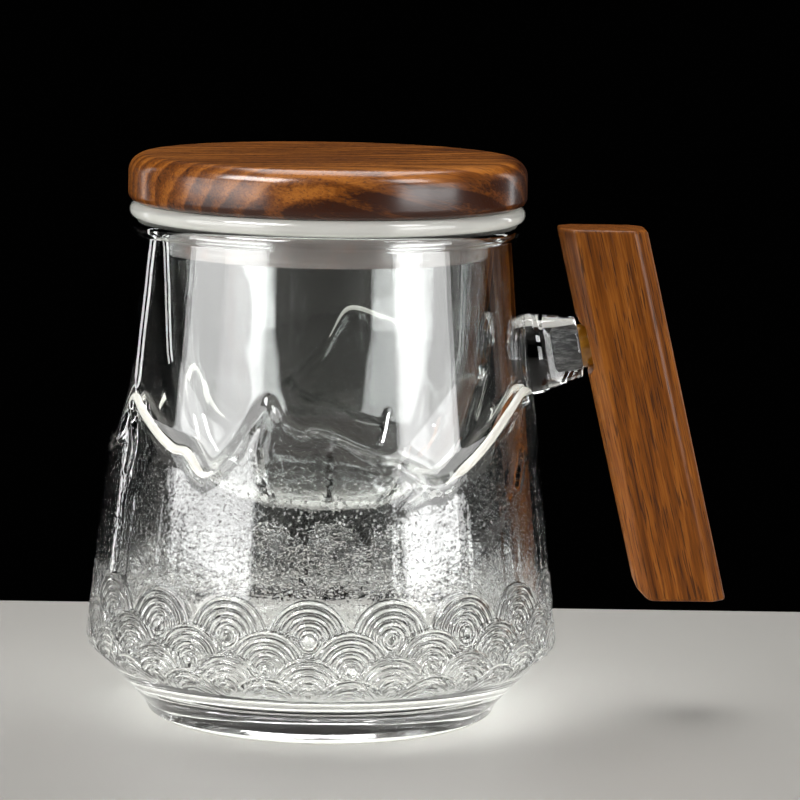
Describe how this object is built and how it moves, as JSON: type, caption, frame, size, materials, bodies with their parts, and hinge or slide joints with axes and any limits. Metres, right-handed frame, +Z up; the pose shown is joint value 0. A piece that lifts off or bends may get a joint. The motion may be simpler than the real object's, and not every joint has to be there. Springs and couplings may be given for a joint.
{
  "type": "tea mug",
  "caption": "Tapered glass tea mug with a relief of mountains and waves, a hanging glass infuser, a lift-off wooden lid with a sealing ring, and a slanted wooden handle on a glass stub.",
  "frame": {"origin": "centre of the foot ring, on the plane that the mug stands on", "axes": "+Z up along the mug's axis, +X from that axis towards the handle, -Y towards the front of the picture"},
  "size_m": [0.1401, 0.104, 0.1209],
  "materials": {
    "clear_glass": "pressed clear glass, fire-polished, lightly hammered where the relief is",
    "infuser_glass": "smooth clear glass",
    "walnut": "oiled satin walnut with straight grain",
    "dowel_wood": "rough sawn peg, grey under the adhesive",
    "amber_adhesive": "cured amber adhesive, glossy",
    "clear_silicone": "translucent silicone, satin"
  },
  "bodies": {
    "mug": {"mug_body": "clear_glass", "handle_stub": "clear_glass", "handle_dowel": "dowel_wood", "handle_adhesive": "amber_adhesive", "handle_grip": "walnut"},
    "infuser": {"infuser": "infuser_glass"},
    "lid": {"lid": "walnut", "lid_seal": "clear_silicone"}
  },
  "joints": [
    {"name": "infuser_lift", "type": "slide", "parent": "mug", "child": "infuser", "axis": [0, 0, 1], "range_m": [0, 0.07]},
    {"name": "lid_lift", "type": "slide", "parent": "infuser", "child": "lid", "axis": [0, 0, 1], "range_m": [0, 0.03]}
  ]
}
